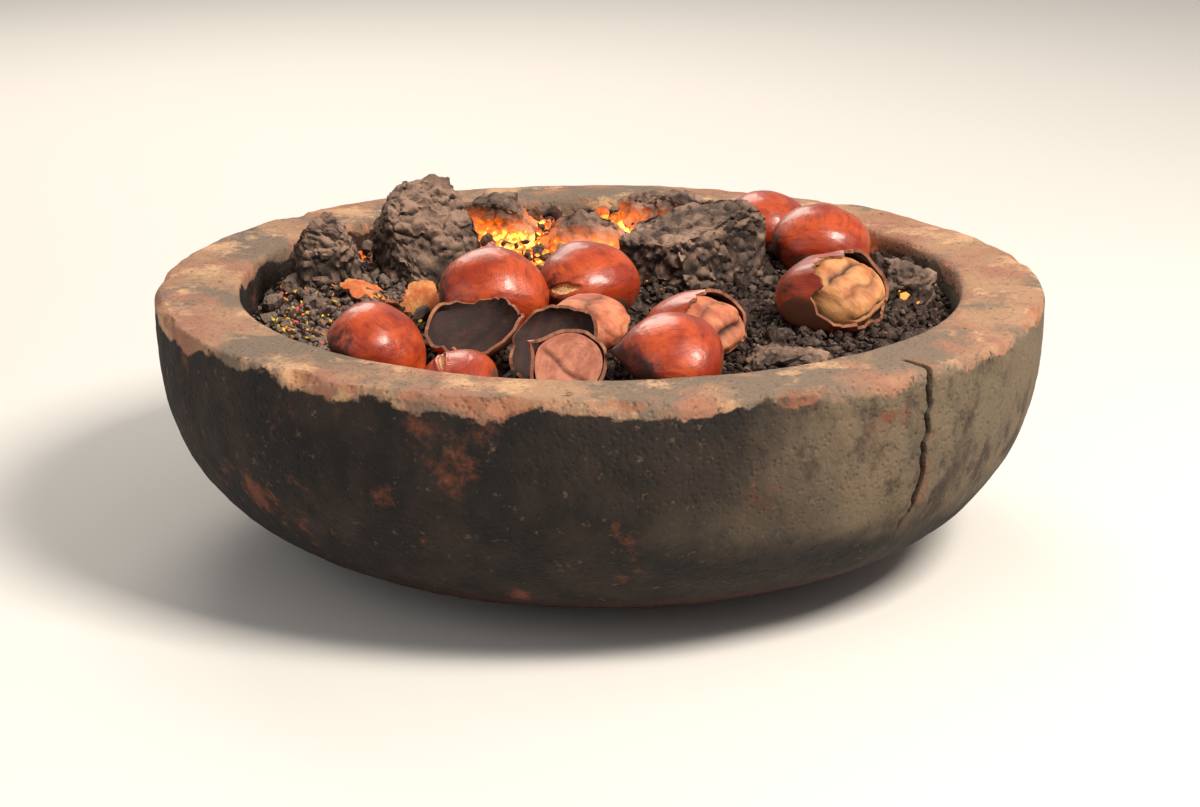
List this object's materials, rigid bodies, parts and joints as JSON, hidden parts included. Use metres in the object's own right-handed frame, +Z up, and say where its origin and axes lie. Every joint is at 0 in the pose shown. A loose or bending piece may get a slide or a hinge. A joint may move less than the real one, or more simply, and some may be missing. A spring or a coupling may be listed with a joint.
{
  "type": "roasted chestnuts on charcoal in a clay fire bowl",
  "caption": "Roasted chestnuts, whole, split, peeled and halved, lying with empty shells on a bed of charcoal in a thick-rimmed round clay bowl on a low foot.",
  "frame": {"origin": "middle of the bowl's foot, on the surface that it stands on", "axes": "+Z up, -Y is the bowl's front, where most of the nuts lie, +X is its right"},
  "size_m": [0.3, 0.3, 0.1175],
  "materials": {
    "clay": "rough fired clay, bare and terracotta on the rim, sooty and olive brown on the wall",
    "charcoal": "matt black charcoal with grey ash",
    "nut_shell": "glossy red-brown nut shell, charred in places",
    "shell_inside": "dull dark brown inside of a shell",
    "kernel": "dry creamy roasted kernel, toasted in places"
  },
  "bodies": {
    "root": {"bowl": "clay", "charcoal_bed": "charcoal", "charcoal_lump_left": "charcoal", "charcoal_lump_left_tall": "charcoal", "charcoal_lump_right": "charcoal", "charcoal_lump_front": "charcoal", "charcoal_lump_back_left": "charcoal", "charcoal_lump_back": "charcoal", "charcoal_lump_back_right": "charcoal", "charcoal_lump_side": "charcoal", "chestnut_front_left": "nut_shell", "chestnut_front_right": "nut_shell", "chestnut_front_low": "nut_shell", "chestnut_middle_left": "nut_shell", "chestnut_middle": "nut_shell", "chestnut_back_right": "nut_shell", "chestnut_far_right": "nut_shell", "split_chestnut_middle_shell": "nut_shell", "split_chestnut_middle_kernel": "kernel", "split_chestnut_right_shell": "nut_shell", "split_chestnut_right_kernel": "kernel", "peeled_chestnut": "kernel", "half_chestnut_shell": "nut_shell", "half_chestnut_kernel": "kernel", "empty_shell_left": "shell_inside", "empty_shell_middle": "shell_inside", "shell_flake_left": "shell_inside", "shell_flake_middle": "shell_inside", "shell_flake_right": "shell_inside"}
  },
  "joints": []
}
